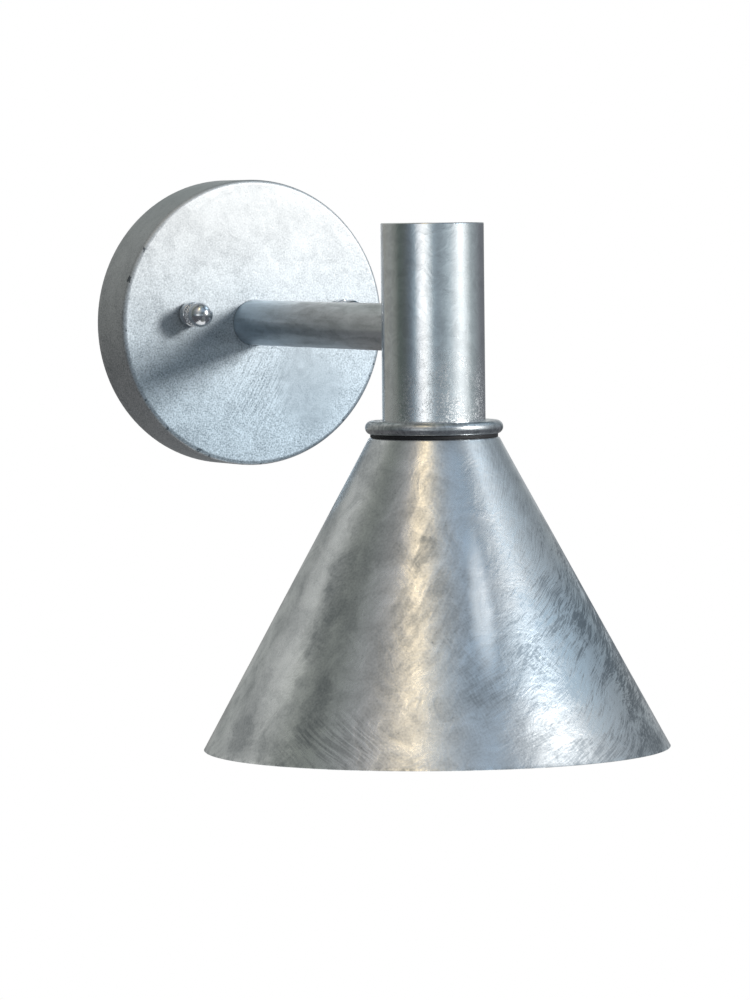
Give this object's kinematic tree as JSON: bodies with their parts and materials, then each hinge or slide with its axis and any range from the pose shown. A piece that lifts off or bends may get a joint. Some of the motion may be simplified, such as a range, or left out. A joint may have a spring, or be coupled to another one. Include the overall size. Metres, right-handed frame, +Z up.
{
  "type": "outdoor wall light",
  "caption": "Galvanised outdoor wall light with a round wall dish, a straight arm, an upright tube and a conical metal shade over a screw lampholder.",
  "frame": {"origin": "on the wall plane, on the axis of the dish and the arm", "axes": "+Y into the wall, so the light stands out along -Y; +Z up; +X to the right for someone who faces the wall"},
  "size_m": [0.227, 0.354, 0.2774],
  "materials": {
    "galvanised_dish": "hot-dip galvanised, fine bright grain",
    "galvanised_tube": "hot-dip galvanised, smooth with dark flecks",
    "galvanised_shade": "hot-dip galvanised, large cloudy spangle",
    "polished_nut": "polished",
    "zinc_strap": "bright zinc plate",
    "zinc_screw": "bright zinc plate",
    "brass": "drawn brass",
    "seal_rubber": "black rubber",
    "white_plastic": "moulded white plastic",
    "holder_plastic": "moulded black heat-proof plastic",
    "ceramic": "glazed porcelain",
    "lamp_body": "moulded white plastic",
    "opal": "opal diffuser",
    "nickel_cap": "rolled lamp cap",
    "black_glass": "black cap insulator",
    "led_board": "white-coated board",
    "brown_insulation": "brown insulation",
    "blue_insulation": "blue insulation",
    "earth_insulation": "green and yellow insulation"
  },
  "bodies": {
    "fixture": {"wall_bracket": "zinc_strap", "bracket_studs": "zinc_screw", "stud_lock_nuts": "zinc_screw", "canopy": "galvanised_dish", "terminal_block": "white_plastic", "terminal_barrels": "brass", "terminal_screws": "zinc_screw", "block_screws": "zinc_screw", "earth_screw": "brass", "earth_washer": "zinc_screw", "earth_tag": "brass", "earth_wire": "earth_insulation", "arm_tube": "galvanised_tube", "arm_bush": "seal_rubber", "tube_bush": "seal_rubber", "head_tube": "galvanised_tube", "top_disc": "galvanised_tube", "collar_ring": "galvanised_tube", "shade_gasket": "seal_rubber", "bridge_plate": "zinc_strap", "nipple": "zinc_screw", "nipple_lock_nut": "zinc_screw", "holder_cap": "holder_plastic", "holder_barrel": "holder_plastic", "holder_core": "ceramic", "side_contact": "brass", "holder_terminals": "brass", "thread_shell": "brass", "centre_contact": "brass", "live_wire": "brown_insulation", "neutral_wire": "blue_insulation"},
    "washer_left": {"seal_washer_left": "seal_rubber"},
    "nut_left": {"cap_nut_left": "polished_nut"},
    "washer_right": {"seal_washer_right": "seal_rubber"},
    "nut_right": {"cap_nut_right": "polished_nut"},
    "shade": {"shade": "galvanised_shade"},
    "shade_ring": {"shade_ring": "holder_plastic"},
    "lamp": {"bulb_contact": "nickel_cap", "bulb_insulator": "black_glass", "bulb_cap": "nickel_cap", "bulb_body": "lamp_body", "bulb_diffuser": "opal", "bulb_led_board": "led_board"}
  },
  "joints": [
    {"name": "washer_left_slide", "type": "slide", "parent": "fixture", "child": "washer_left", "axis": [0, -1, 0], "range_m": [0, 0.0096]},
    {"name": "cap_nut_left_turn", "type": "hinge", "parent": "washer_left", "child": "nut_left", "pos_m": [-0.0366, -0.034, 0.005], "axis": [0, -1, 0], "range_deg": [0, 4320]},
    {"name": "washer_right_slide", "type": "slide", "parent": "fixture", "child": "washer_right", "axis": [0, -1, 0], "range_m": [0, 0.0096]},
    {"name": "cap_nut_right_turn", "type": "hinge", "parent": "washer_right", "child": "nut_right", "pos_m": [0.0494, -0.034, 0.005], "axis": [0, -1, 0], "range_deg": [0, 4320]},
    {"name": "shade_slide", "type": "slide", "parent": "fixture", "child": "shade", "axis": [0, 0, -1], "range_m": [0, 0.0125]},
    {"name": "shade_ring_turn", "type": "hinge", "parent": "shade", "child": "shade_ring", "pos_m": [0, -0.2405, -0.0538], "axis": [0, 0, -1], "range_deg": [0, 1800]},
    {"name": "lamp_turn", "type": "hinge", "parent": "fixture", "child": "lamp", "pos_m": [0, -0.2405, -0.0548], "axis": [0, 0, -1], "range_deg": [0, 1080]}
  ],
  "couplings": [
    {"joint": "washer_left_slide", "follows": "cap_nut_left_turn", "m_per_rad": 0.00012732},
    {"joint": "washer_right_slide", "follows": "cap_nut_right_turn", "m_per_rad": 0.00012732},
    {"joint": "shade_ring_turn", "follows": "shade_slide", "rad_per_m": 2513.3}
  ]
}
